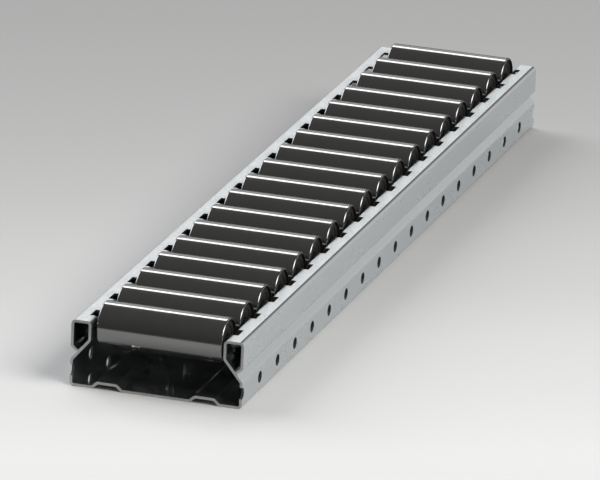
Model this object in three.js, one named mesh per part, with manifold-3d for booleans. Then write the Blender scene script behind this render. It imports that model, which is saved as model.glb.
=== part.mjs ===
// Roller track: a roll-formed sheet-steel channel with two folded hollow rails, carrying a row of
// free-turning rollers on hexagonal axles that drop into slots in the inner walls of the rails.
// Millimetres. X runs across the track, Y along it, Z up. The origin is the middle of the underside.
import * as THREE from 'three';
import { mergeVertices, toCreasedNormals } from 'three/addons/utils/BufferGeometryUtils.js';
import Module from 'manifold-3d';

// Row of rollers
const rollerCount = 18;
const rollerDiameter = 43;
const rollerGap = 9;
const rollerProud = 12.5;
const rollerEndGap = 3.25;

// Channel section
const channelWidth = 163.5;
const railHeight = 63;
const railWidth = 19;
const sheet = 2.5;
const bendRadius = 1.5;
const shoulderLow = 25;
const shoulderHigh = 45;
const lipHeight = 38;
const lipGap = 0.4;
const ribInset = 21.5;
const ribFootWidth = 28;
const ribTopWidth = 18;
const ribHeight = 4.5;

// Side holes, on the pitch of the rollers and cut in half at both ends of the track
const holeDiameter = 11;
const holeHeight = 15;

// Openings for the axles: a wide notch in the flange and a narrow slot in the wall below it
const notchLength = 16.5;
const notchDepth = 7.5;
const notchDrop = 5;

// Axle
const axleAcrossFlats = 10;
const axleSeatGap = 0.3;
const axleEndInRail = 2.5;
const collarDiameter = 13;
const collarGap = 0.4;

// Roller
const tubeWall = 1.5;
const rimRadius = 1;
const rimWidth = 3.2;
const capRecess = 2;
const capTaper = 0.6;
const capThickness = 10;
const boreClearance = 0.4;

// Fineness of round shapes
const bendSteps = 3;
const holeSides = 12;
const rollerSides = 20;
const hollowSides = 10;
const boreSides = 8;
const collarSides = 8;
const creaseAngle = THREE.MathUtils.degToRad(30);

// One overrun serves every cut
const overrun = 1;

// Worked out from the sizes above
const pitch = rollerDiameter + rollerGap;
const trackLength = rollerCount * pitch;
const axisHeight = railHeight + rollerProud - rollerDiameter / 2;
const outerFace = channelWidth / 2;
const innerWallFace = outerFace - railWidth;
const rollerHalf = innerWallFace - rollerEndGap;
const axleHalf = innerWallFace + sheet + axleEndInRail;
const axleCornerRadius = axleAcrossFlats / 2 / Math.cos(Math.PI / 6);

const wasm = await Module();
wasm.setup();

const zincSteel = new THREE.MeshStandardMaterial({ color: 0xb4babb, metalness: 0.85, roughness: 0.42 });
const blackRoller = new THREE.MeshStandardMaterial({ color: 0x2e2c2a, metalness: 0.6, roughness: 0.22 });
const axleSteel = new THREE.MeshStandardMaterial({ color: 0x5a5a58, metalness: 0.9, roughness: 0.4 });

// Turns a closed geometry into a solid that can be joined and cut
function toSolid(geometry) {
  const bare = geometry.clone();
  bare.deleteAttribute('normal');
  bare.deleteAttribute('uv');
  const welded = mergeVertices(bare);
  const mesh = new wasm.Mesh({
    numProp: 3,
    vertProperties: new Float32Array(welded.attributes.position.array),
    triVerts: new Uint32Array(welded.index.array),
  });
  return new wasm.Manifold(mesh);
}

// Turns a solid back into a geometry, with flat faces and smooth bends
function toGeometry(solid) {
  const mesh = solid.getMesh();
  const geometry = new THREE.BufferGeometry();
  geometry.setAttribute('position', new THREE.BufferAttribute(new Float32Array(mesh.vertProperties), 3));
  geometry.setIndex(new THREE.BufferAttribute(new Uint32Array(mesh.triVerts), 1));
  return toCreasedNormals(geometry, creaseAngle);
}

// A strip of sheet bent along a path of corners on its middle line, as a closed outline
function bentStrip(corners) {
  const middleRadius = bendRadius + sheet / 2;
  const left = [];
  const right = [];
  const addPair = (point, normal) => {
    left.push(point.clone().addScaledVector(normal, sheet / 2));
    right.push(point.clone().addScaledVector(normal, -sheet / 2));
  };
  const normalOf = (direction) => new THREE.Vector2(-direction.y, direction.x);
  const directionTo = (from, to) => to.clone().sub(from).normalize();
  const last = corners.length - 1;
  addPair(corners[0], normalOf(directionTo(corners[0], corners[1])));
  for (let i = 1; i < last; i++) {
    const before = directionTo(corners[i - 1], corners[i]);
    const after = directionTo(corners[i], corners[i + 1]);
    const turn = Math.atan2(before.cross(after), before.dot(after));
    const side = Math.sign(turn);
    const tangent = middleRadius * Math.tan(Math.abs(turn) / 2);
    const start = corners[i].clone().addScaledVector(before, -tangent);
    const centre = start.clone().addScaledVector(normalOf(before), side * middleRadius);
    const steps = Math.max(1, Math.round(bendSteps * Math.abs(turn) / (Math.PI / 2)));
    for (let step = 0; step <= steps; step++) {
      const normal = normalOf(before).rotateAround(new THREE.Vector2(), turn * step / steps);
      addPair(centre.clone().addScaledVector(normal, -side * middleRadius), normal);
    }
  }
  addPair(corners[last], normalOf(directionTo(corners[last - 1], corners[last])));
  return new THREE.Shape([...right, ...left.reverse()]);
}

// Corners of the right half of the section, from the middle of the floor to the tip of the lip
function halfSection() {
  const floorLine = sheet / 2;
  const wallLine = outerFace - sheet / 2;
  const innerLine = innerWallFace + sheet / 2;
  const flangeLine = railHeight - sheet / 2;
  const ribSlope = (ribFootWidth - ribTopWidth) / 2;
  const ribOuterFoot = outerFace - ribInset;
  const ribInnerFoot = ribOuterFoot - ribFootWidth;
  const incline = new THREE.Vector2(innerLine - wallLine, shoulderHigh - shoulderLow).normalize();
  const awayFromIncline = new THREE.Vector2(incline.y, -incline.x);
  const lipCorner = new THREE.Vector2(wallLine, lipHeight);
  const lipReach = lipCorner.clone().sub(new THREE.Vector2(wallLine, shoulderLow)).dot(awayFromIncline);
  const lipLength = lipReach - sheet / 2 - lipGap;
  return [
    new THREE.Vector2(ribInnerFoot, floorLine),
    new THREE.Vector2(ribInnerFoot + ribSlope, floorLine + ribHeight),
    new THREE.Vector2(ribOuterFoot - ribSlope, floorLine + ribHeight),
    new THREE.Vector2(ribOuterFoot, floorLine),
    new THREE.Vector2(wallLine, floorLine),
    new THREE.Vector2(wallLine, shoulderLow),
    new THREE.Vector2(innerLine, shoulderHigh),
    new THREE.Vector2(innerLine, flangeLine),
    new THREE.Vector2(wallLine, flangeLine),
    lipCorner,
    lipCorner.clone().addScaledVector(awayFromIncline, -lipLength),
  ];
}

// A prism from a drawing in the plane across an axle (along the track, up), running along X
function prismAlongX(points, from, to) {
  const geometry = new THREE.ExtrudeGeometry(new THREE.Shape(points), { depth: to - from, bevelEnabled: false });
  geometry.rotateX(Math.PI / 2);
  geometry.rotateZ(Math.PI / 2);
  geometry.translate(from, 0, 0);
  return toSolid(geometry);
}

// The six corners of a hexagon with one corner down and its flats facing along the track
function hexagon(cornerRadius) {
  const corners = [];
  for (let i = 0; i < 6; i++) {
    const angle = -Math.PI / 2 + i * Math.PI / 3;
    corners.push(new THREE.Vector2(cornerRadius * Math.cos(angle), cornerRadius * Math.sin(angle)));
  }
  return corners;
}

// Notch and slot for one end of an axle, on the right rail, with the axle at the origin of Y
function axleOpening() {
  const seat = hexagon(axleCornerRadius + axleSeatGap / Math.cos(Math.PI / 6));
  const top = railHeight + overrun - axisHeight;
  const slotOutline = [
    seat[5],
    seat[0],
    seat[1],
    new THREE.Vector2(seat[1].x, top),
    new THREE.Vector2(seat[5].x, top),
  ];
  const slot = prismAlongX(slotOutline, innerWallFace - overrun, innerWallFace + sheet + overrun);
  const notchHeight = notchDrop + overrun;
  const notch = new THREE.BoxGeometry(notchDepth + overrun, notchLength, notchHeight);
  notch.translate(
    innerWallFace + (notchDepth - overrun) / 2,
    0,
    railHeight + overrun - notchHeight / 2,
  );
  return toSolid(notch).add(slot.translate(0, 0, axisHeight));
}

// Distance of a roller from the middle of the track
function rollerPlace(index) {
  return (index + 0.5) * pitch - trackLength / 2;
}

function makeChannel() {
  const right = halfSection();
  const left = right.map((corner) => new THREE.Vector2(-corner.x, corner.y)).reverse();
  const section = bentStrip([...left, ...right]);
  const strip = new THREE.ExtrudeGeometry(section, { depth: trackLength, bevelEnabled: false });
  strip.rotateX(Math.PI / 2);
  strip.translate(0, trackLength / 2, 0);

  const cuts = [];
  for (let i = 0; i <= rollerCount; i++) {
    const drill = new THREE.CylinderGeometry(
      holeDiameter / 2, holeDiameter / 2, channelWidth + 2 * overrun, holeSides);
    drill.rotateZ(Math.PI / 2);
    drill.translate(0, i * pitch - trackLength / 2, holeHeight);
    cuts.push(toSolid(drill));
  }
  const rightOpening = axleOpening();
  const leftOpening = rightOpening.mirror([1, 0, 0]);
  for (let i = 0; i < rollerCount; i++) {
    cuts.push(rightOpening.translate(0, rollerPlace(i), 0));
    cuts.push(leftOpening.translate(0, rollerPlace(i), 0));
  }
  return toGeometry(toSolid(strip).subtract(wasm.Manifold.union(cuts)));
}

// Tube with a rolled rim at each end, closed by recessed bearing caps that turn with it
function makeRoller() {
  const radius = rollerDiameter / 2;
  const capRadius = radius - rimWidth;
  const capFace = rollerHalf - capRecess;
  const end = [
    new THREE.Vector2(radius, rollerHalf - rimRadius),
    new THREE.Vector2(radius - rimRadius, rollerHalf),
    new THREE.Vector2(capRadius, rollerHalf),
    new THREE.Vector2(capRadius - capTaper, capFace),
    new THREE.Vector2(0, capFace),
  ];
  const otherEnd = end.map((point) => new THREE.Vector2(point.x, -point.y)).reverse();
  const outside = new THREE.LatheGeometry([...otherEnd, ...end], rollerSides);
  const hollowRadius = radius - tubeWall;
  const hollowLength = 2 * (capFace - capThickness);
  const hollow = new THREE.CylinderGeometry(hollowRadius, hollowRadius, hollowLength, hollowSides);
  const boreRadius = (axleCornerRadius + boreClearance) / Math.cos(Math.PI / boreSides);
  const boreLength = 2 * (capFace + overrun);
  const bore = new THREE.CylinderGeometry(boreRadius, boreRadius, boreLength, boreSides);
  const geometry = toGeometry(toSolid(outside).subtract(toSolid(hollow)).subtract(toSolid(bore)));
  geometry.rotateZ(-Math.PI / 2);
  return geometry;
}

// Hexagonal axle with a round collar between each bearing cap and the rail
function makeAxle() {
  const bar = prismAlongX(hexagon(axleCornerRadius), -axleHalf, axleHalf);
  const collarStart = rollerHalf - capRecess + collarGap;
  const collarEnd = innerWallFace - collarGap;
  const collar = new THREE.CylinderGeometry(
    collarDiameter / 2, collarDiameter / 2, collarEnd - collarStart, collarSides);
  collar.rotateZ(Math.PI / 2);
  collar.translate((collarStart + collarEnd) / 2, 0, 0);
  const ring = toSolid(collar);
  return toGeometry(bar.add(ring).add(ring.mirror([1, 0, 0])));
}

const track = new THREE.Group();

function addPiece(name, geometry, material, y = 0, z = 0) {
  const mesh = new THREE.Mesh(geometry, material);
  mesh.name = name;
  mesh.position.set(0, y, z);
  track.add(mesh);
}

addPiece('track_channel', makeChannel(), zincSteel);
const rollerGeometry = makeRoller();
const axleGeometry = makeAxle();
for (let i = 0; i < rollerCount; i++) {
  const number = String(i + 1).padStart(2, '0');
  addPiece(`roller_${number}`, rollerGeometry, blackRoller, rollerPlace(i), axisHeight);
  addPiece(`axle_${number}`, axleGeometry, axleSteel, rollerPlace(i), axisHeight);
}

export default track;
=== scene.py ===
"""Roller track: a folded zinc-plated channel with a close row of dark steel rollers.

Makes the fine surface of the track over its solid frame: the channel with its bends, ribs, notches and
punched holes, the rollers with their rolled rims and bearing caps, and the axles that carry them.
"""

import math

import bmesh
import bpy
from mathutils import Matrix, Vector


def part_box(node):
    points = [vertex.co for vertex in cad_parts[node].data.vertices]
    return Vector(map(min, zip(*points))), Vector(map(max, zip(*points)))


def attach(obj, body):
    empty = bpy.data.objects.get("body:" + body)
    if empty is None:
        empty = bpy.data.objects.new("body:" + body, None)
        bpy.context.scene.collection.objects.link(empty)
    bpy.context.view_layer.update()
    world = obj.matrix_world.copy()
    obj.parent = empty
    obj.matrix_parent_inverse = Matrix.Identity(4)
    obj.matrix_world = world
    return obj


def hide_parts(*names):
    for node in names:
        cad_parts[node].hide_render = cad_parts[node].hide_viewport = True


bl_info = {
    "name": "Roller Track",
    "version": (1, 0, 0),
    "blender": (4, 5, 0),
    "location": "3D View > Sidebar > Roller Track",
    "description": "Builds a folded steel roller track with its rollers, axles and studio",
    "category": "Add Mesh",
}

MM = 0.001
QUARTER = math.pi / 2
# Depth of the bare steel at the sawn ends, edge rounds included
SAWN_DEPTH = 0.25 * MM
# Painted light on the sawn ends: their brightness at the underside and at the top of the rails, as shares
# of their colour, lighter low down where the floor lights them
SAWN_PAINTED_LIGHT = (1.07, 0.79)
# How far the cutting shapes reach past the sheet
OVERRUN = 1 * MM

# Facets in a square bend, the least in any bend, and in the rounds of notches, rims and cut edges
BEND_STEPS = 8
LEAST_STEPS = 3
CORNER_STEPS = 4
RIM_STEPS = 8
EDGE_STEPS = 2
# Degrees between two faces from which their edge gets rounded, and from which it shades as sharp
ROUNDED_ANGLE = 40
SHARP_ANGLE = 35

# Waves per metre along X, Y and Z in the fine patterns of the finishes
WAVES = {
    "zinc_grains": (450, 450, 450),
    "zinc_clouds": (40, 14, 40),
    "zinc_lines": (900, 4, 900),
    "punch_lines": (1200, 1200, 150),
    "saw_lines": (1500, 300, 250),
    "saw_spots": (350, 350, 350),
    "turned_lines": (2200, 12, 12),
    "handling_marks": (70, 70, 70),
    "cap_grains": (500, 500, 500),
    "rubber_grains": (900, 900, 900),
    "drawn_lines": (15, 1600, 1600),
}
# Values that noise mostly keeps between
NOISE_RANGE = (0.3, 0.7)

# Depth of the zinc's fine relief away from the flanges and on them
ZINC_DEPTHS = (0.003 * MM, 0.18 * MM)
# Depth and strength of the fine relief of the other finishes
RELIEF = {
    "punched": (0.05 * MM, 0.2),
    "sawn": (0.05 * MM, 0.15),
    "tube": (0.02 * MM, 0.04),
    "cap": (0.03 * MM, 0.1),
    "axle": (0.03 * MM, 0.08),
}

# Painted light on the floor: how light it is, by metres from the middle of the track towards the picture's
# upper edge, standing in for light that falls off
FLOOR_PAINTED_LIGHT = (
    (-1.10, 0.08), (-0.80, 0.16), (-0.72, 0.30), (-0.68, 0.46), (-0.655, 0.55), (-0.58, 0.558),
    (-0.40, 0.51), (-0.26, 0.48), (-0.12, 0.43), (0.02, 0.40), (0.16, 0.362), (0.31, 0.332),
    (0.47, 0.308), (0.69, 0.282), (0.85, 0.27), (1.05, 0.13), (3.00, 0.08),
)

# Brightness of the white panel behind the track on the left, by the sine of the height angle
PANEL_TONES = (
    (0.0, 0.16), (0.12, 0.28), (0.22, 0.95), (0.27, 1.0), (0.42, 1.0), (0.52, 0.90), (0.64, 0.24),
    (1.0, 0.17),
)

# The same for the part of the panel further to the left, which reaches down to the floor
SIDE_TONES = ((0.0, 0.75), (0.20, 0.84), (0.42, 0.84), (0.52, 0.80), (0.64, 0.24), (1.0, 0.17))

# Brightness of the wall right of that panel, by the sine of the angle to the right of straight back
WALL_TONES = (
    (-0.24, 0.11), (-0.10, 0.12), (0.00, 0.16), (0.06, 0.24), (0.13, 0.40), (0.22, 0.60), (0.32, 0.68),
    (1.00, 0.62),
)

# Soft steps in the room by the direction's X, X, Z and Y: side of the panel to panel, panel to wall,
# wall to the room above it, and front of the room to its back
SIDE_EDGE = (-0.34, -0.30)
PANEL_EDGE = (-0.250, -0.215)
WALL_TOP = (0.45, 0.65)
ROOM_BACK = (-0.2, 0.4)

# Lamps: compass direction clockwise from +Y and height angle, then width and height of the lamp,
# all in degrees, and colour
SOFTBOXES = {
    "key": (-17, 42, 25, 12.5, (1.0, 1.0, 1.0)),
    "right": (102, 44, 40, 36, (1.0, 0.985, 0.955)),
    "left": (-70, 36, 40, 44, (0.955, 0.98, 1.0)),
}
# From the middle of the track to each lamp, and how far the camera sees, in metres
LAMP_DISTANCE = 30.0
VIEW_DEPTH = 100.0
# Width of the camera's sensor in millimetres
SENSOR_WIDTH = 36.0

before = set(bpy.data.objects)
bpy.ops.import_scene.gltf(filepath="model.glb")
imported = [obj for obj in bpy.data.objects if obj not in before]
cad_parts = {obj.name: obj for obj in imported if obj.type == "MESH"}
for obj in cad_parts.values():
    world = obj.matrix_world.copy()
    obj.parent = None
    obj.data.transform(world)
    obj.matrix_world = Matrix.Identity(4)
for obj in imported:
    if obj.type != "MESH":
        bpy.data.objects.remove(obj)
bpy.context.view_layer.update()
channel_low, channel_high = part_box("track_channel")
roller_low, roller_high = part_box("roller_01")
axle_low, axle_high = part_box("axle_01")
roller_nodes = sorted(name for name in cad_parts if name.startswith("roller_"))
axle_nodes = sorted(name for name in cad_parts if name.startswith("axle_"))


def setting(property_kind, **options):
    """A function that makes settings of one kind from a name, a description and a default."""
    def make(name, description, default):
        return property_kind(name=name, description=description, default=default, **options)
    return make


length = setting(bpy.props.FloatProperty, min=0.0, precision=5, unit="LENGTH", subtype="DISTANCE")
share = setting(bpy.props.FloatProperty, min=0.0, max=1.0, subtype="FACTOR")
gloss_index = setting(bpy.props.FloatProperty, min=1.0, max=3.0)
radiance = setting(bpy.props.FloatProperty, min=0.0)
lens = setting(bpy.props.FloatProperty, min=1.0, max=2000.0)
count = setting(bpy.props.IntProperty, min=1)
colour = setting(bpy.props.FloatVectorProperty, size=3, min=0.0, max=1.0, subtype="COLOR")
place_of = setting(bpy.props.FloatVectorProperty, size=3, unit="LENGTH", subtype="TRANSLATION")
direction_of = setting(bpy.props.FloatVectorProperty, size=3, subtype="DIRECTION")


class TrackChannelSettings(bpy.types.PropertyGroup):
    """Sizes and finish of the folded channel."""
    width: length("Width", "Outside width over both rails", channel_high.x - channel_low.x)
    height: length("Height", "Top of the flanges above the underside", channel_high.z)
    track_length: length("Length", "Length between the two cut ends", channel_high.y - channel_low.y)
    sheet: length("Sheet", "Thickness of the steel sheet", 2.5 * MM)
    bend_radius: length("Bend Radius", "Inside radius of the bends", 1.5 * MM)
    rail_width: length("Rail Width", "Outside width of one hollow rail", 19 * MM)
    shoulder_low: length("Shoulder Foot", "Height where the lower wall turns inwards", 25 * MM)
    shoulder_high: length("Shoulder Top", "Height where the slant turns upright", 45 * MM)
    lip_height: length("Lip Height", "Height where the outer wall turns in to the slant", 38 * MM)
    lip_gap: length("Lip Gap", "Gap between the lip's edge and the slant", 0.4 * MM)
    rib_inset: length("Rib Inset", "From the outer face to the outer foot of a rib", 21.5 * MM)
    rib_foot_width: length("Rib Foot Width", "Width of a pressed rib at its foot", 28 * MM)
    rib_top_width: length("Rib Top Width", "Width of a pressed rib at its top", 18 * MM)
    rib_height: length("Rib Height", "Rise of a pressed rib", 4.5 * MM)
    hole_diameter: length("Hole Diameter", "Round holes in the lower walls", 11 * MM)
    hole_height: length("Hole Height", "Hole centres above the underside", 15 * MM)
    hole_sides: count("Hole Sides", "Facets round a hole", 48)
    notch_length: length("Notch Length", "Notch along the track", 16.5 * MM)
    notch_depth: length("Notch Depth", "Notch from the inner wall face into the flange", 7.5 * MM)
    notch_drop: length("Notch Drop", "Notch below the top of the flange", 5 * MM)
    notch_corner: length("Notch Corner", "Corner radius of the notch", 0.8 * MM)
    seat_gap: length("Seat Gap", "Gap between an axle's flats and its slot", 0.3 * MM)
    edge_round: length("Edge Round", "Rounding of the sheared edges", 0.22 * MM)
    zinc: colour("Zinc", "Bright plating inside the channel and in its bends", (0.575, 0.598, 0.608))
    zinc_roughness: share("Zinc Roughness", "Roughness of the bright plating", 0.11)
    bright_metal: share("Bright Metal", "Share of mirror-like metal in the bright plating", 0.97)
    # Painted light: one satin plating in two colours, darker on the outer walls as painted shade, lighter
    # on the tops of the flanges as painted light
    shaded_wall_zinc: colour("Wall Zinc", "Satin plating of the outer walls", (0.368, 0.397, 0.412))
    lit_flange_zinc: colour("Flange Zinc", "Satin plating on top of the flanges", (0.500, 0.528, 0.544))
    satin_metal: share("Satin Metal", "Share of mirror-like metal in the satin plating", 0.42)
    satin_roughness: share("Satin Roughness", "Roughness of the satin plating", 0.28)
    cut_steel: colour("Cut Steel", "Bare steel of the sawn ends", (0.40, 0.41, 0.405))
    # Partly painted shade: dark sheared steel, made darker still to stand in for the shade in holes,
    # notches and slots
    sheared_steel: colour("Sheared Steel", "Oiled steel in holes, notches and slots", (0.075, 0.075, 0.073))


class TrackRollerSettings(bpy.types.PropertyGroup):
    """Sizes and finish of one roller."""
    diameter: length("Diameter", "Outside of the tube", roller_high.z - roller_low.z)
    roller_length: length("Length", "Over the rolled rims", roller_high.x - roller_low.x)
    rim_radius: length("Rim Radius", "Rounding of the rolled rim on its outer edge", 1.6 * MM)
    recess_radius: length("Recess Radius", "Rounding of the rolled rim towards the recess", 0.3 * MM)
    rim_width: length("Rim Width", "From the outside of the tube to the recess", 2 * MM)
    bright_rim: length("Bright Rim", "Width of the rim that has the tube's finish", 0.9 * MM)
    recess: length("Recess", "Depth of the cap below the rim", 2 * MM)
    cap_taper: length("Cap Taper", "Width of the sloping recess wall", 0.6 * MM)
    cap_thickness: length("Cap Thickness", "Thickness of a bearing cap", 10 * MM)
    tube_wall: length("Tube Wall", "Wall of the tube", 1.5 * MM)
    cap_dish: length("Cap Dish", "Depth of the flat ring pressed into the cap", 0.15 * MM)
    cap_edge: length("Cap Edge", "Width of the small slopes in the cap", 0.4 * MM)
    seal_radius: length("Seal Radius", "Outside of the seal ring in the cap", 14 * MM)
    seal_width: length("Seal Width", "Width of the seal ring", 2.2 * MM)
    seal_step: length("Seal Step", "Depth of the seal below the cap's face", 0.6 * MM)
    hub_step: length("Hub Step", "Depth of the bearing's inner part below the cap's face", 0.3 * MM)
    bore_gap: length("Bore Gap", "Gap between the cap's bore and the corners of the axle", 0.4 * MM)
    sides: count("Sides", "Facets round the tube", 96)
    tube_colour: colour("Tube Colour", "Dark finish of the tube", (0.0085, 0.0078, 0.0066))
    tube_index: gloss_index("Tube Gloss Index", "Refractive index of the dark finish", 2.47)
    tube_roughness: share("Tube Roughness", "Mean roughness of the tube", 0.10)
    cap_colour: colour("Cap Colour", "Pressed bearing cap", (0.015, 0.0143, 0.0135))
    cap_index: gloss_index("Cap Gloss Index", "Refractive index of the cap's finish", 1.2)
    seal_colour: colour("Seal Colour", "Rubber seal in the cap", (0.013, 0.013, 0.013))
    seal_index: gloss_index("Seal Gloss Index", "Refractive index of the rubber's skin", 1.25)


class TrackAxleSettings(bpy.types.PropertyGroup):
    """Sizes and finish of the axles."""
    across_flats: length("Across Flats", "Hexagon size of the axle", 10 * MM)
    axle_length: length("Length", "Over both ends", axle_high.x - axle_low.x)
    collar_diameter: length("Collar Diameter", "Round collar between cap and rail", 13 * MM)
    collar_gap: length("Collar Gap", "Gap between the collar and its neighbours", 0.4 * MM)
    collar_sides: count("Collar Sides", "Facets round a collar", 48)
    bore_clearance: length("Bore Clearance", "Gap between the axle's corners and the collar", 0.05 * MM)
    chamfer: length("Chamfer", "Chamfer of the edges of axle and collar", 0.5 * MM)
    axle_colour: colour("Steel Colour", "Oiled drawn steel", (0.11, 0.11, 0.106))
    axle_roughness: share("Steel Roughness", "Roughness of the drawn steel", 0.34)


class TrackStageSettings(bpy.types.PropertyGroup):
    """Camera, floor and lamps."""
    camera_place: place_of("Camera Place", "Where the camera stands", (2.3650, -7.8248, 2.6533))
    camera_forward: direction_of(
        "Camera Forward", "Direction the camera looks in", (-0.27661, 0.91039, -0.30770))
    camera_up: direction_of(
        "Camera Up", "Direction of the picture's upper edge", (-0.13050, 0.28164, 0.95060))
    focal_length: lens("Focal Length", "Focal length in millimetres on a 36 mm wide sensor", 544.684)
    floor_size: length("Floor Size", "Side of the square floor", 16.0)
    key_radiance: radiance("Key Radiance", "Brightness of the wide softbox behind the track", 6.0)
    right_radiance: radiance("Right Radiance", "Brightness of the softbox on the right", 8.6)
    left_radiance: radiance("Left Radiance", "Brightness of the softbox on the left", 5.0)
    room_low: share("Room Low", "Brightness of the room in front of the track at its own height", 0.11)
    room_high: share("Room High", "Brightness of the room overhead", 0.18)


SETTINGS = {
    "roller_track_channel": TrackChannelSettings,
    "roller_track_rollers": TrackRollerSettings,
    "roller_track_axles": TrackAxleSettings,
    "roller_track_stage": TrackStageSettings,
}


def give(tree, node, inputs):
    """Sets or links a node's inputs by name or number."""
    for key, value in inputs.items():
        socket = node.inputs[key]
        if isinstance(value, bpy.types.NodeSocket):
            tree.links.new(value, socket)
        else:
            socket.default_value = value


def add_node(tree, kind, inputs=None, **settings):
    """Adds a node, sets its options, and sets or links its inputs."""
    node = tree.nodes.new(kind)
    for option, value in settings.items():
        setattr(node, option, value)
    give(tree, node, inputs or {})
    return node


def calculate(tree, operation, *values):
    """Result of a sum on values or sockets."""
    return add_node(tree, "ShaderNodeMath", dict(enumerate(values)), operation=operation).outputs[0]


def product(tree, first, second):
    return calculate(tree, "MULTIPLY", first, second)


def total(tree, first, *others):
    """Adds values or sockets up."""
    for value in others:
        first = calculate(tree, "ADD", first, value)
    return first


def parts_of(tree, vector):
    """X, Y and Z of a vector."""
    return add_node(tree, "ShaderNodeSeparateXYZ", {0: vector}).outputs


def span(tree, value, low, high, new_low, new_high):
    """Maps a value from one range to another, held at both ends."""
    ranges = {"From Min": low, "From Max": high, "To Min": new_low, "To Max": new_high}
    return add_node(tree, "ShaderNodeMapRange", {"Value": value, **ranges}).outputs["Result"]


def step_up(tree, value, edge):
    """Rises from 0 to 1 over the edge's width."""
    return span(tree, value, *edge, 0.0, 1.0)


def blend(tree, factor, first, second):
    """Mixes two colours, given as values or sockets, by a factor."""
    node = add_node(tree, "ShaderNodeMix", {"Factor": factor}, data_type="RGBA")
    colours = [socket for socket in node.inputs if socket.type == "RGBA"]
    for socket, value in zip(colours, (first, second)):
        if isinstance(value, bpy.types.NodeSocket):
            tree.links.new(value, socket)
        else:
            socket.default_value = (*value, 1.0)
    return next(socket for socket in node.outputs if socket.type == "RGBA")


def shade(values, factor):
    """A colour made lighter or darker."""
    return tuple(min(1.0, value * factor) for value in values)


def scaled(tree, base, factor):
    """A colour socket made lighter or darker by a socket."""
    return add_node(tree, "ShaderNodeVectorMath", {0: base, "Scale": factor}, operation="SCALE").outputs[0]


def start_material(name):
    """A material with an empty tree, its shader and its object coordinates."""
    material = bpy.data.materials.new(name)
    material.use_nodes = True
    tree = material.node_tree
    tree.nodes.clear()
    output = tree.nodes.new("ShaderNodeOutputMaterial")
    shader = tree.nodes.new("ShaderNodeBsdfPrincipled")
    tree.links.new(shader.outputs["BSDF"], output.inputs["Surface"])
    place = tree.nodes.new("ShaderNodeTexCoord").outputs["Object"]
    return material, tree, shader, place


def stretched_noise(tree, place, waves, detail=2.0, roughness=0.5):
    """Noise with its own number of waves per metre along X, Y and Z, from the table of waves."""
    mapped = add_node(tree, "ShaderNodeMapping", {"Vector": place, "Scale": WAVES[waves]})
    return add_node(tree, "ShaderNodeTexNoise", {
        "Vector": mapped.outputs["Vector"], "Scale": 1.0, "Detail": detail, "Roughness": roughness,
    }).outputs["Fac"]


def noise_span(tree, noise, low, high):
    """Maps the range that noise mostly keeps to another range."""
    return span(tree, noise, *NOISE_RANGE, low, high)


def uneven(tree, noise, values, contrast):
    """A colour that noise makes darker and lighter by a share of itself."""
    darker, lighter = shade(values, 1 - contrast), shade(values, 1 + contrast)
    return blend(tree, noise_span(tree, noise, 0.0, 1.0), darker, lighter)


def relief(tree, height, depth, strength):
    """Normals of fine relief from a height value."""
    return add_node(tree, "ShaderNodeBump", {
        "Strength": strength, "Distance": depth, "Height": height}).outputs["Normal"]


def zinc_plating(settings):
    """Zinc plating: bright inside and in the bends, satin with a fine grain on walls and flanges, with
    painted shade on the walls and painted light on the flanges.
    """
    material, tree, shader, place = start_material("zinc_plating")
    parts = parts_of(tree, place)
    sideways = calculate(tree, "ABSOLUTE", parts["X"])
    # The satin finish reaches half a sheet under its faces, with an edge a fifth of that from the face
    face, top, skin = settings.width / 2, settings.height, settings.sheet / 2
    soft = skin / 5
    wall = step_up(tree, sideways, (face - skin, face - soft))
    bend = face - settings.sheet - settings.bend_radius
    inside_bend = span(tree, sideways, bend - soft, bend, 1.0, 0.0)
    flange = product(tree, step_up(tree, parts["Z"], (top - skin, top - soft)), inside_bend)
    satin = calculate(tree, "MAXIMUM", wall, flange)
    grains = stretched_noise(tree, place, "zinc_grains")
    clouds = stretched_noise(tree, place, "zinc_clouds", 3.0)
    lines = stretched_noise(tree, place, "zinc_lines")
    # Painted light: the walls get the darker satin colour and the flanges the lighter one
    plain = blend(tree, wall, settings.zinc, settings.shaded_wall_zinc)
    base = blend(tree, flange, plain, settings.lit_flange_zinc)
    contrast = product(tree, noise_span(tree, grains, -0.11, 0.11), flange)
    mean = span(tree, satin, 0.0, 1.0, settings.zinc_roughness, settings.satin_roughness)
    cloudy = span(tree, clouds, 0.35, 0.65, -0.015, 0.015)
    height = calculate(tree, "MULTIPLY_ADD", lines, 0.25, grains)
    give(tree, shader, {
        "Base Color": scaled(tree, base, total(tree, contrast, 1.0)),
        "Roughness": total(tree, cloudy, mean),
        "Metallic": span(tree, satin, 0.0, 1.0, settings.bright_metal, settings.satin_metal),
        "Normal": relief(tree, height, span(tree, flange, 0.0, 1.0, *ZINC_DEPTHS), 1.0),
    })
    return material


def sheared_steel(settings):
    """Holes, notches and slots: dark oiled steel with the fine upright lines that a punch leaves, kept
    darker still as painted shade in these recesses.
    """
    material, tree, shader, place = start_material("sheared_steel")
    lines = stretched_noise(tree, place, "punch_lines")
    give(tree, shader, {
        # Partly painted shade: this dark colour also stands in for the shade inside the recesses
        "Base Color": uneven(tree, lines, settings.sheared_steel, 0.3),
        "Roughness": noise_span(tree, lines, 0.4, 0.55),
        "Metallic": 0.7,
        "Normal": relief(tree, lines, *RELIEF["punched"]),
    })
    return material


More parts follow.
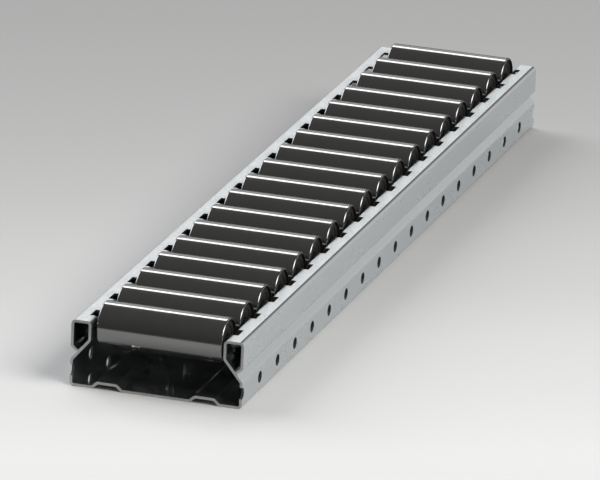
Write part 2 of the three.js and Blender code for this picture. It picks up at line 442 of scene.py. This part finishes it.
def sawn_steel(settings):
    """Sawn ends: bare steel with fine lines across the sheet, with painted shade darker towards the top of
    the rails.
    """
    material, tree, shader, place = start_material("sawn_steel")
    lines = stretched_noise(tree, place, "saw_lines")
    spots = stretched_noise(tree, place, "saw_spots", 3.0)
    tone = span(tree, product(tree, lines, spots), 0.15, 0.38, 0.0, 1.0)
    base = blend(tree, tone, shade(settings.cut_steel, 0.86), shade(settings.cut_steel, 1.14))
    # Painted light: lighter low down where light from the floor falls, darker towards the top of the rails
    darker = span(tree, parts_of(tree, place)["Z"], 0.0, settings.height, *SAWN_PAINTED_LIGHT)
    give(tree, shader, {
        "Base Color": scaled(tree, base, darker),
        "Roughness": noise_span(tree, lines, 0.38, 0.5),
        "Metallic": 0.5,
        "Normal": relief(tree, lines, *RELIEF["sawn"]),
    })
    return material


def dark_tube_finish(settings):
    """Smooth dark tube with the faintest turned lines and a few handling marks in its gloss."""
    material, tree, shader, place = start_material("dark_tube_finish")
    turned = stretched_noise(tree, place, "turned_lines")
    marks = stretched_noise(tree, place, "handling_marks", 4.0, 0.6)
    fine = noise_span(tree, turned, -0.012, 0.012)
    dull = span(tree, marks, 0.45, 0.75, 0.0, 0.03)
    give(tree, shader, {
        "Base Color": uneven(tree, marks, settings.tube_colour, 0.12),
        "Roughness": total(tree, fine, dull, settings.tube_roughness),
        "IOR": settings.tube_index,
        "Normal": relief(tree, turned, *RELIEF["tube"]),
    })
    return material


def pressed_cap_finish(settings):
    """Satin dark steel of the bearing caps."""
    material, tree, shader, place = start_material("pressed_cap_finish")
    grains = stretched_noise(tree, place, "cap_grains", 3.0)
    give(tree, shader, {
        "Base Color": uneven(tree, grains, settings.cap_colour, 0.2),
        "Roughness": noise_span(tree, grains, 0.52, 0.65),
        "IOR": settings.cap_index,
        "Normal": relief(tree, grains, *RELIEF["cap"]),
    })
    return material


def seal_rubber(settings):
    """Dull black rubber of the bearing seals."""
    material, tree, shader, place = start_material("seal_rubber")
    grains = stretched_noise(tree, place, "rubber_grains", 3.0)
    darker, lighter = shade(settings.seal_colour, 0.7), shade(settings.seal_colour, 1.4)
    give(tree, shader, {
        "Base Color": blend(tree, grains, darker, lighter),
        "Roughness": noise_span(tree, grains, 0.5, 0.65),
        "IOR": settings.seal_index,
    })
    return material


def drawn_steel(settings):
    """Oiled drawn bar with fine lines along the axle."""
    material, tree, shader, place = start_material("drawn_steel")
    lines = stretched_noise(tree, place, "drawn_lines")
    give(tree, shader, {
        "Base Color": uneven(tree, lines, settings.axle_colour, 0.1),
        "Roughness": total(tree, noise_span(tree, lines, -0.05, 0.05), settings.axle_roughness),
        "Metallic": 1.0,
        "Normal": relief(tree, lines, *RELIEF["axle"]),
    })
    return material


def new_object(name, mesh):
    """Puts a mesh in the scene as an object at the origin."""
    obj = bpy.data.objects.new(name, mesh)
    bpy.context.scene.collection.objects.link(obj)
    return obj


def outline_mesh(name, points):
    """A closed outline as a mesh of edges in the XY plane."""
    mesh = bpy.data.meshes.new(name)
    last = len(points) - 1
    edges = [(i, i + 1) for i in range(last)] + [(last, 0)]
    mesh.from_pydata([(point[0], point[1], 0.0) for point in points], edges, [])
    return mesh


def bent_strip(corners, sheet, bend_radius, steps_in_square_bend):
    """Outline of a sheet bent along its middle line, with facets of one size in each bend."""
    middle_radius = bend_radius + sheet / 2
    left, right = [], []

    def add_pair(point, normal):
        left.append(point + normal * (sheet / 2))
        right.append(point - normal * (sheet / 2))

    def normal_of(direction):
        return Vector((-direction.y, direction.x))

    add_pair(corners[0], normal_of((corners[1] - corners[0]).normalized()))
    for before, corner, after in zip(corners, corners[1:], corners[2:]):
        arriving = (corner - before).normalized()
        leaving = (after - corner).normalized()
        turn = math.atan2(arriving.x * leaving.y - arriving.y * leaving.x, arriving.dot(leaving))
        side = math.copysign(1.0, turn)
        start = corner - arriving * (middle_radius * math.tan(abs(turn) / 2))
        centre = start + normal_of(arriving) * (side * middle_radius)
        steps = max(LEAST_STEPS, round(steps_in_square_bend * abs(turn) / QUARTER))
        for step in range(steps + 1):
            normal = normal_of(arriving)
            normal.rotate(Matrix.Rotation(turn * step / steps, 2))
            add_pair(centre - normal * (side * middle_radius), normal)
    add_pair(corners[-1], normal_of((corners[-1] - corners[-2]).normalized()))
    return right + left[::-1]


def channel_corners(s):
    """Corners of the right half of the section on the sheet's middle line, from the floor to the lip."""
    outer_face = s.width / 2
    floor_line = s.sheet / 2
    wall_line = outer_face - s.sheet / 2
    inner_line = outer_face - s.rail_width + s.sheet / 2
    flange_line = s.height - s.sheet / 2
    rib_slope = (s.rib_foot_width - s.rib_top_width) / 2
    rib_outer_foot = outer_face - s.rib_inset
    rib_inner_foot = rib_outer_foot - s.rib_foot_width
    slant = Vector((inner_line - wall_line, s.shoulder_high - s.shoulder_low)).normalized()
    away_from_slant = Vector((slant.y, -slant.x))
    lip_corner = Vector((wall_line, s.lip_height))
    lip_reach = (lip_corner - Vector((wall_line, s.shoulder_low))).dot(away_from_slant)
    lip_length = lip_reach - s.sheet / 2 - s.lip_gap
    corners = (
        (rib_inner_foot, floor_line),
        (rib_inner_foot + rib_slope, floor_line + s.rib_height),
        (rib_outer_foot - rib_slope, floor_line + s.rib_height),
        (rib_outer_foot, floor_line),
        (wall_line, floor_line),
        (wall_line, s.shoulder_low),
        (inner_line, s.shoulder_high),
        (inner_line, flange_line),
        (wall_line, flange_line),
        lip_corner,
        lip_corner - away_from_slant * lip_length,
    )
    return [Vector(corner) for corner in corners]


def ring_of_points(radius, sides):
    """Corners of a polygon with one corner down, as pairs of along the track and up."""
    angles = [math.tau * i / sides - QUARTER for i in range(sides)]
    return [(radius * math.cos(angle), radius * math.sin(angle)) for angle in angles]


def hexagon(corner_radius):
    return ring_of_points(corner_radius, 6)


def hexagon_corner(middle_to_flat):
    """From a hexagon's middle to its corners."""
    return middle_to_flat / math.cos(math.pi / 6)


def join_rings(build, rings):
    """Faces between each ring of vertices and the next."""
    for low, high in zip(rings, rings[1:]):
        for i in range(len(low)):
            j = (i + 1) % len(low)
            build.faces.new((low[i], low[j], high[j], high[i]))


def closed_prism(rings):
    """A closed mesh from rings of points with as many corners each, capped at both ends."""
    build = bmesh.new()
    made = [[build.verts.new(point) for point in ring] for ring in rings]
    join_rings(build, made)
    build.faces.new(made[0])
    build.faces.new(made[-1])
    bmesh.ops.recalc_face_normals(build, faces=build.faces)
    return build


def with_mirror_image(build):
    """Adds a closed shape's mirror image across the track to it."""
    copies = bmesh.ops.duplicate(build, geom=build.verts[:] + build.edges[:] + build.faces[:])["geom"]
    for item in copies:
        if isinstance(item, bmesh.types.BMVert):
            item.co.x = -item.co.x
    bmesh.ops.recalc_face_normals(build, faces=build.faces)
    return build


def built_mesh(name, build):
    """Turns a built shape into a mesh."""
    mesh = bpy.data.meshes.new(name)
    build.to_mesh(mesh)
    build.free()
    return mesh


def built_object(name, build):
    return new_object(name, built_mesh(name, build))


def fillet(points, centre, start, turn, radius, steps):
    """Adds a round to an outline."""
    for step in range(steps + 1):
        angle = start + turn * step / steps
        points.append((centre[0] + radius * math.cos(angle), centre[1] + radius * math.sin(angle)))


def start_shape_tree(name, start, inputs):
    """A geometry node tree that starts from a named mesh, with a mesh out and named inputs."""
    tree = bpy.data.node_groups.new(name, "GeometryNodeTree")
    tree.interface.new_socket(start, in_out="INPUT", socket_type="NodeSocketGeometry")
    for label, kind in inputs.items():
        tree.interface.new_socket(label, in_out="INPUT", socket_type="NodeSocket" + kind)
    tree.interface.new_socket("Shape", in_out="OUTPUT", socket_type="NodeSocketGeometry")
    return tree, tree.nodes.new("NodeGroupInput").outputs


def vector_of(tree, **parts):
    """Combines values or sockets into a vector."""
    return add_node(tree, "ShaderNodeCombineXYZ", parts).outputs["Vector"]


def compare(tree, first, operation, second):
    """Whether one value is past another."""
    return add_node(tree, "FunctionNodeCompare", {0: first, 1: second}, operation=operation).outputs[0]


def keep_mark(tree, shape, name, faces):
    """Keeps a selection of faces in the mesh under a name."""
    return add_node(tree, "GeometryNodeStoreNamedAttribute", {
        "Geometry": shape, "Name": name, "Value": faces}, data_type="BOOLEAN", domain="FACE").outputs[0]


def marked(tree, name):
    """The selection that was kept under a name."""
    return add_node(
        tree, "GeometryNodeInputNamedAttribute", {"Name": name}, data_type="BOOLEAN").outputs[0]


def position_parts(tree):
    """X, Y and Z of each point."""
    return parts_of(tree, tree.nodes.new("GeometryNodeInputPosition").outputs[0])


def placed_row(tree, shape, number, pitch):
    """Places copies of a shape along the track, centred on its middle, and makes them real."""
    gaps = calculate(tree, "SUBTRACT", number, 1.0)
    start = product(tree, product(tree, gaps, pitch), -0.5)
    row = add_node(tree, "GeometryNodeMeshLine", {
        "Count": number, "Start Location": vector_of(tree, Y=start), "Offset": vector_of(tree, Y=pitch)})
    copies = add_node(tree, "GeometryNodeInstanceOnPoints", {
        "Points": row.outputs["Mesh"], "Instance": shape}).outputs["Instances"]
    return add_node(tree, "GeometryNodeRealizeInstances", {"Geometry": copies}).outputs[0]


def finish_tree(tree, shape, finishes):
    """Ends a tree: real geometry, then each finish on the faces that its selection names."""
    shape = add_node(tree, "GeometryNodeRealizeInstances", {"Geometry": shape}).outputs[0]
    for material, selection in finishes:
        inputs = {"Geometry": shape, "Material": material}
        if selection is not None:
            inputs["Selection"] = selection
        shape = add_node(tree, "GeometryNodeSetMaterial", inputs).outputs[0]
    output = tree.nodes.new("NodeGroupOutput")
    tree.links.new(shape, output.inputs["Shape"])


def channel_tree():
    """Sweeps the section along the track and takes the holes, notches and slots out of it."""
    tree, given = start_shape_tree("Roller Track Channel", "Outline", {
        "Length": "Float", "Pitch": "Float", "Rollers": "Int", "Drill": "Object", "Notch": "Object",
        "Slot": "Object", "Plating": "Material", "Sawn End": "Material", "Sheared Edge": "Material"})
    profile = add_node(tree, "GeometryNodeMeshToCurve", {"Mesh": given["Outline"]}).outputs[0]
    half = product(tree, given["Length"], 0.5)
    path = add_node(tree, "GeometryNodeCurvePrimitiveLine", {
        "Start": vector_of(tree, Y=product(tree, half, -1.0)), "End": vector_of(tree, Y=half)})
    bar = add_node(tree, "GeometryNodeCurveToMesh", {
        "Curve": path.outputs[0], "Profile Curve": profile, "Fill Caps": True}).outputs[0]
    rollers = given["Rollers"]
    drills = total(tree, rollers, 1.0)
    cut = add_node(tree, "GeometryNodeMeshBoolean", {0: bar}, operation="DIFFERENCE", solver="MANIFOLD")
    for piece, number in (("Drill", drills), ("Notch", rollers), ("Slot", rollers)):
        shape = add_node(tree, "GeometryNodeObjectInfo", {"Object": given[piece]}).outputs["Geometry"]
        row = placed_row(tree, shape, number, given["Pitch"])
        tree.links.new(keep_mark(tree, row, "sheared", True), cut.inputs[1])
    from_middle = calculate(tree, "ABSOLUTE", position_parts(tree)["Y"])
    near_end = calculate(tree, "SUBTRACT", half, SAWN_DEPTH)
    sawn = compare(tree, from_middle, "GREATER_THAN", near_end)
    finish_tree(tree, cut.outputs["Mesh"], (
        (given["Plating"], None), (given["Sheared Edge"], marked(tree, "sheared")),
        (given["Sawn End"], sawn)))
    return tree


def roller_tree():
    """Turns the outline of a roller round its axis and lays it across the track."""
    tree, given = start_shape_tree("Roller Track Roller", "Outline", {
        "Turning Radius": "Float", "Sides": "Int", "Place": "Vector", "Cap Radius": "Float",
        "Seal Radius": "Float", "Cap Start": "Float", "Tube": "Material", "Cap": "Material",
        "Seal": "Material"})
    profile = add_node(tree, "GeometryNodeMeshToCurve", {"Mesh": given["Outline"]}).outputs[0]
    circle = add_node(tree, "GeometryNodeCurvePrimitiveCircle", {
        "Resolution": given["Sides"], "Radius": given["Turning Radius"]}).outputs[0]
    turned = add_node(tree, "GeometryNodeCurveToMesh", {
        "Curve": circle, "Profile Curve": profile}).outputs[0]
    parts = position_parts(tree)
    radius = add_node(tree, "ShaderNodeVectorMath", {
        0: vector_of(tree, X=parts["X"], Y=parts["Y"])}, operation="LENGTH").outputs["Value"]
    far = calculate(tree, "ABSOLUTE", parts["Z"])
    near_end = compare(tree, far, "GREATER_THAN", given["Cap Start"])
    for label in ("Cap", "Seal"):
        inside = compare(tree, radius, "LESS_THAN", given[label + " Radius"])
        faces = add_node(tree, "FunctionNodeBooleanMath", {0: near_end, 1: inside}, operation="AND")
        turned = keep_mark(tree, turned, label, faces.outputs[0])
    laid = add_node(tree, "GeometryNodeTransform", {
        "Geometry": turned, "Translation": given["Place"], "Rotation": (0.0, QUARTER, 0.0)}).outputs[0]
    finish_tree(tree, laid, (
        (given["Tube"], None), (given["Cap"], marked(tree, "Cap")), (given["Seal"], marked(tree, "Seal"))))
    return tree


def axle_tree():
    """Places one axle under every roller."""
    tree, given = start_shape_tree("Roller Track Axles", "Axle", {
        "Pitch": "Float", "Rollers": "Int", "Height": "Float", "Steel": "Material"})
    row = placed_row(tree, given["Axle"], given["Rollers"], given["Pitch"])
    lifted = add_node(tree, "GeometryNodeTransform", {
        "Geometry": row, "Translation": vector_of(tree, Z=given["Height"])}).outputs[0]
    finish_tree(tree, lifted, ((given["Steel"], None),))
    return tree


def plain_result(name, mesh, tree, values, edge_round=0.0):
    """Runs a tree on a mesh and keeps the result as an object with a plain mesh and no modifier."""
    obj = new_object(name, mesh)
    modifier = obj.modifiers.new("Shape", "NODES")
    modifier.node_group = tree
    for item in tree.interface.items_tree:
        if item.item_type == "SOCKET" and item.in_out == "INPUT" and item.name in values:
            modifier[item.identifier] = values[item.name]
    if edge_round > 0.0:
        rounding = obj.modifiers.new("Rounding", "BEVEL")
        rounding.width = edge_round
        rounding.segments = EDGE_STEPS
        rounding.limit_method = "ANGLE"
        rounding.angle_limit = math.radians(ROUNDED_ANGLE)
        rounding.harden_normals = True
    settle(obj)
    keep_used_materials(obj.data)
    return obj


def settle(obj):
    """Replaces an object's mesh and its modifiers with the plain mesh that they make."""
    depsgraph = bpy.context.evaluated_depsgraph_get()
    made = bpy.data.meshes.new_from_object(obj.evaluated_get(depsgraph), depsgraph=depsgraph)
    if not made.polygons:
        raise RuntimeError(f"{obj.name}: the modifiers made no faces")
    obj.modifiers.clear()
    obj.data = made
    made.name = obj.name


def keep_used_materials(mesh):
    """Leaves only the materials that faces use, in their order."""
    used = sorted({face.material_index for face in mesh.polygons})
    indices = [used.index(face.material_index) for face in mesh.polygons]
    materials = [mesh.materials[index] for index in used]
    mesh.materials.clear()
    for material in materials:
        mesh.materials.append(material)
    mesh.polygons.foreach_set("material_index", indices)


def smooth(obj):
    """Smooth shading with sharp corners, where the large faces keep their own flat normals."""
    obj.data.shade_smooth()
    obj.data.set_sharp_from_angle(angle=math.radians(SHARP_ANGLE))
    weighting = obj.modifiers.new("Weighting", "WEIGHTED_NORMAL")
    weighting.mode = "FACE_AREA"
    weighting.keep_sharp = True
    settle(obj)


def pitch_of_rollers():
    first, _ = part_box(roller_nodes[0])
    second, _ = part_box(roller_nodes[1])
    return second.y - first.y


def axis_height():
    return (roller_low.z + roller_high.z) / 2


class ROLLERTRACK_OT_channel(bpy.types.Operator):
    """Make the folded channel with its ribs, holes, notches and slots"""
    bl_idname = "roller_track.channel"
    bl_label = "Make Channel"

    def execute(self, context):
        s = context.scene.roller_track_channel
        right_half = channel_corners(s)
        left_half = [Vector((-corner.x, corner.y)) for corner in reversed(right_half)]
        section = bent_strip(left_half + right_half, s.sheet, s.bend_radius, BEND_STEPS)
        outline = outline_mesh("channel_section", [(point.x, -point.y) for point in reversed(section)])

        outer_face = s.width / 2
        inner_face = outer_face - s.rail_width
        hole = ring_of_points(s.hole_diameter / 2, s.hole_sides)
        drill = closed_prism([
            [(x, y, s.hole_height + z) for y, z in hole]
            for x in (-outer_face - OVERRUN, outer_face + OVERRUN)])

        corner = s.notch_corner
        deep = inner_face + s.notch_depth - corner
        half = s.notch_length / 2
        plan = [(inner_face - OVERRUN, half), (inner_face - OVERRUN, -half)]
        fillet(plan, (deep, corner - half), -QUARTER, QUARTER, corner, CORNER_STEPS)
        fillet(plan, (deep, half - corner), 0.0, QUARTER, corner, CORNER_STEPS)
        notch = closed_prism([
            [(x, y, z) for x, y in plan] for z in (s.height - s.notch_drop, s.height + OVERRUN)])

        axles = context.scene.roller_track_axles
        seat = hexagon(hexagon_corner(axles.across_flats / 2 + s.seat_gap))
        top = s.height + OVERRUN - axis_height()
        slot_outline = [seat[5], seat[0], seat[1], (seat[1][0], top), (seat[5][0], top)]
        slot = closed_prism([
            [(x, y, axis_height() + z) for y, z in slot_outline]
            for x in (inner_face - OVERRUN, inner_face + s.sheet + OVERRUN)])

        helpers = [
            built_object("hole_drill", drill),
            built_object("flange_notch", with_mirror_image(notch)),
            built_object("axle_slot", with_mirror_image(slot)),
        ]
        channel = plain_result("channel", outline, channel_tree(), {
            "Length": s.track_length,
            "Pitch": pitch_of_rollers(),
            "Rollers": len(roller_nodes),
            "Drill": helpers[0],
            "Notch": helpers[1],
            "Slot": helpers[2],
            "Plating": zinc_plating(s),
            "Sawn End": sawn_steel(s),
            "Sheared Edge": sheared_steel(s),
        }, s.edge_round)
        for helper in helpers:
            bpy.data.objects.remove(helper)
        smooth(channel)
        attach(channel, "track")
        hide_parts("track_channel")
        return {"FINISHED"}


class ROLLERTRACK_OT_rollers(bpy.types.Operator):
    """Make every roller: tube with rolled rims, recessed bearing caps and seals"""
    bl_idname = "roller_track.rollers"
    bl_label = "Make Rollers"

    def execute(self, context):
        s = context.scene.roller_track_rollers
        axles = context.scene.roller_track_axles
        radius = s.diameter / 2
        half = s.roller_length / 2
        cap_radius = radius - s.rim_width
        cap_face = half - s.recess
        cap_back = cap_face - s.cap_thickness
        bore = hexagon_corner(axles.across_flats / 2) + s.bore_gap
        recess_foot = cap_radius - s.cap_taper
        seal_inside = s.seal_radius - s.seal_width
        rim, inner = s.rim_radius, s.recess_radius
        end = []
        fillet(end, (radius - rim, half - rim), 0.0, QUARTER, rim, RIM_STEPS)
        fillet(end, (cap_radius + inner, half - inner), QUARTER, QUARTER, inner, RIM_STEPS)
        end += [
            (recess_foot, cap_face),
            (recess_foot - s.cap_edge, cap_face - s.cap_dish),
            (s.seal_radius + 2 * s.cap_edge, cap_face - s.cap_dish),
            (s.seal_radius + s.cap_edge, cap_face),
            (s.seal_radius, cap_face - s.seal_step),
            (seal_inside, cap_face - s.seal_step),
            (seal_inside - s.cap_edge, cap_face - s.hub_step),
            (bore + s.cap_edge, cap_face - s.hub_step),
            (bore, cap_face - s.hub_step - s.cap_edge),
            (bore, cap_back),
            (radius - s.tube_wall, cap_back),
        ]
        other_end = [(x, -y) for x, y in reversed(end)]
        turning_radius = 2 * radius
        outline = [(x - turning_radius, y) for x, y in end + other_end]
        tree = roller_tree()
        finishes = {
            "Tube": dark_tube_finish(s),
            "Cap": pressed_cap_finish(s),
            "Seal": seal_rubber(s),
        }
        for node in roller_nodes:
            low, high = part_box(node)
            roller = plain_result("dressed_" + node, outline_mesh(node + "_outline", outline), tree, {
                "Turning Radius": turning_radius,
                "Sides": s.sides,
                "Place": ((low + high) / 2)[:],
                "Cap Radius": radius - s.bright_rim,
                "Cap Start": (cap_back + cap_face) / 2,
                "Seal Radius": s.seal_radius,
                **finishes,
            })
            smooth(roller)
            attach(roller, node)
            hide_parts(node)
        return {"FINISHED"}


class ROLLERTRACK_OT_axles(bpy.types.Operator):
    """Make the hexagonal axles with their collars"""
    bl_idname = "roller_track.axles"
    bl_label = "Make Axles"

    def execute(self, context):
        s = context.scene.roller_track_axles
        rollers = context.scene.roller_track_rollers
        channel = context.scene.roller_track_channel
        corner = hexagon_corner(s.across_flats / 2)
        half = s.axle_length / 2
        small = corner - s.chamfer
        stations = ((-half, small), (-half + s.chamfer, corner), (half - s.chamfer, corner), (half, small))
        build = closed_prism([[(x, y, z) for y, z in hexagon(size)] for x, size in stations])

        start = rollers.roller_length / 2 - rollers.recess + s.collar_gap
        end = channel.width / 2 - channel.rail_width - s.collar_gap
        outside = s.collar_diameter / 2
        bore = corner + s.bore_clearance
        profile = (
            (bore, start), (outside - s.chamfer, start), (outside, start + s.chamfer),
            (outside, end - s.chamfer), (outside - s.chamfer, end), (bore, end))
        for side in (-1, 1):
            rings = [
                [build.verts.new((side * x, y, z)) for y, z in ring_of_points(radius, s.collar_sides)]
                for radius, x in profile]
            join_rings(build, rings + rings[:1])
        bmesh.ops.recalc_face_normals(build, faces=build.faces)
        axles = plain_result("axles", built_mesh("axle", build), axle_tree(), {
            "Pitch": pitch_of_rollers(),
            "Rollers": len(roller_nodes),
            "Height": axis_height(),
            "Steel": drawn_steel(s),
        })
        smooth(axles)
        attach(axles, "track")
        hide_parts(*axle_nodes)
        return {"FINISHED"}


def floor_finish(s):
    """Pale paper floor with painted light: lightest in front of the track, darker towards the back and far
    away.
    """
    material, tree, shader, place = start_material("pale_floor")
    up = Vector(s.camera_up)
    upward = Vector((up.x, up.y, 0.0)).normalized()
    distance = add_node(
        tree, "ShaderNodeVectorMath", {0: place, 1: upward}, operation="DOT_PRODUCT").outputs["Value"]
    give(tree, shader, {
        # Painted light: the floor's tone falls off away from the front of the track
        "Base Color": tone_ramp(tree, distance, FLOOR_PAINTED_LIGHT, FLOOR_PAINTED_LIGHT[0][0], FLOOR_PAINTED_LIGHT[-1][0]),
        "Roughness": 1.0,
        "Specular IOR Level": 0.0,
    })
    return material


def softbox(name, brightness):
    """A rectangular lamp that faces the track from its place in the table of lamps."""
    azimuth, elevation, across, upward, lamp_colour = SOFTBOXES[name]
    lamp = bpy.data.lights.new(name + "_softbox", "AREA")
    lamp.color = lamp_colour
    lamp.shape = "RECTANGLE"
    lamp.size = 2 * LAMP_DISTANCE * math.tan(math.radians(across / 2))
    lamp.size_y = 2 * LAMP_DISTANCE * math.tan(math.radians(upward / 2))
    lamp.energy = brightness * math.pi * lamp.size * lamp.size_y
    turn, lift = math.radians(azimuth), math.radians(elevation)
    direction = Vector((math.sin(turn) * math.cos(lift), math.cos(turn) * math.cos(lift), math.sin(lift)))
    obj = bpy.data.objects.new(lamp.name, lamp)
    obj.location = direction * LAMP_DISTANCE
    obj.rotation_euler = (-direction).to_track_quat("-Z", "Y").to_euler()
    bpy.context.scene.collection.objects.link(obj)


def tone_ramp(tree, value, stops, low, high):
    """Grey tones by a value, from stops of value and tone."""
    ramp = add_node(tree, "ShaderNodeValToRGB", {"Fac": span(tree, value, low, high, 0.0, 1.0)})
    elements = ramp.color_ramp.elements
    while len(elements) < len(stops):
        elements.new(0.5)
    for element, (where, tone) in zip(elements, stops):
        element.position = (where - low) / (high - low)
        element.color = (tone, tone, tone, 1.0)
    return ramp.outputs["Color"]


class ROLLERTRACK_OT_stage(bpy.types.Operator):
    """Set up the camera, the pale floor, the lamps and the room"""
    bl_idname = "roller_track.stage"
    bl_label = "Set Up Stage"

    def execute(self, context):
        s = context.scene.roller_track_stage
        scene = context.scene

        camera = bpy.data.cameras.new("camera")
        camera.lens = s.focal_length
        camera.sensor_width = SENSOR_WIDTH
        camera.clip_end = VIEW_DEPTH
        camera_object = bpy.data.objects.new("camera", camera)
        forward = Vector(s.camera_forward).normalized()
        right = forward.cross(Vector(s.camera_up)).normalized()
        up = right.cross(forward)
        turn = Matrix((right, up, -forward)).transposed().to_4x4()
        camera_object.matrix_world = Matrix.Translation(Vector(s.camera_place)) @ turn
        scene.collection.objects.link(camera_object)
        scene.camera = camera_object

        half = s.floor_size / 2
        mesh = bpy.data.meshes.new("floor")
        corners = [(-half, -half, 0), (half, -half, 0), (half, half, 0), (-half, half, 0)]
        mesh.from_pydata(corners, [], [(0, 1, 2, 3)])
        mesh.materials.append(floor_finish(s))
        new_object("floor", mesh)

        softbox("key", s.key_radiance)
        softbox("right", s.right_radiance)
        softbox("left", s.left_radiance)

        world = bpy.data.worlds.new("studio_room")
        world.use_nodes = True
        tree = world.node_tree
        background = tree.nodes["Background"]
        direction = tree.nodes.new("ShaderNodeTexCoord").outputs["Generated"]
        parts = parts_of(tree, direction)
        side = tone_ramp(tree, parts["Z"], SIDE_TONES, 0.0, 1.0)
        panel = tone_ramp(tree, parts["Z"], PANEL_TONES, 0.0, 1.0)
        wall = tone_ramp(tree, parts["X"], WALL_TONES, WALL_TONES[0][0], 1.0)
        room = tone_ramp(tree, parts["Z"], ((0.0, s.room_low), (1.0, s.room_high)), 0.0, 1.0)
        panel = blend(tree, step_up(tree, parts["X"], SIDE_EDGE), side, panel)
        wall = blend(tree, step_up(tree, parts["Z"], WALL_TOP), wall, room)
        back = blend(tree, step_up(tree, parts["X"], PANEL_EDGE), panel, wall)
        whole = blend(tree, step_up(tree, parts["Y"], ROOM_BACK), room, back)
        give(tree, background, {"Color": whole, "Strength": 1.0})
        scene.world = world
        scene.view_settings.view_transform = "Standard"
        return {"FINISHED"}


class VIEW3D_PT_roller_track(bpy.types.Panel):
    """Steps that build the roller track"""
    bl_label = "Roller Track"
    bl_idname = "VIEW3D_PT_roller_track"
    bl_space_type = "VIEW_3D"
    bl_region_type = "UI"
    bl_category = "Roller Track"

    def draw(self, context):
        for operator, settings in STEPS:
            box = self.layout.box()
            box.operator(operator.bl_idname)
            group = getattr(context.scene, settings)
            for name in group.bl_rna.properties.keys():
                if name not in {"rna_type", "name"}:
                    box.prop(group, name)


STEPS = (
    (ROLLERTRACK_OT_channel, "roller_track_channel"),
    (ROLLERTRACK_OT_rollers, "roller_track_rollers"),
    (ROLLERTRACK_OT_axles, "roller_track_axles"),
    (ROLLERTRACK_OT_stage, "roller_track_stage"),
)


def register():
    for name, group in SETTINGS.items():
        bpy.utils.register_class(group)
        setattr(bpy.types.Scene, name, bpy.props.PointerProperty(type=group))
    for operator, _ in STEPS:
        bpy.utils.register_class(operator)
    bpy.utils.register_class(VIEW3D_PT_roller_track)


def unregister():
    bpy.utils.unregister_class(VIEW3D_PT_roller_track)
    for operator, _ in reversed(STEPS):
        bpy.utils.unregister_class(operator)
    for name, group in reversed(SETTINGS.items()):
        delattr(bpy.types.Scene, name)
        bpy.utils.unregister_class(group)


def main():
    register()
    bpy.ops.roller_track.channel()
    bpy.ops.roller_track.rollers()
    bpy.ops.roller_track.axles()
    bpy.ops.roller_track.stage()


if __name__ == "__main__":
    main()
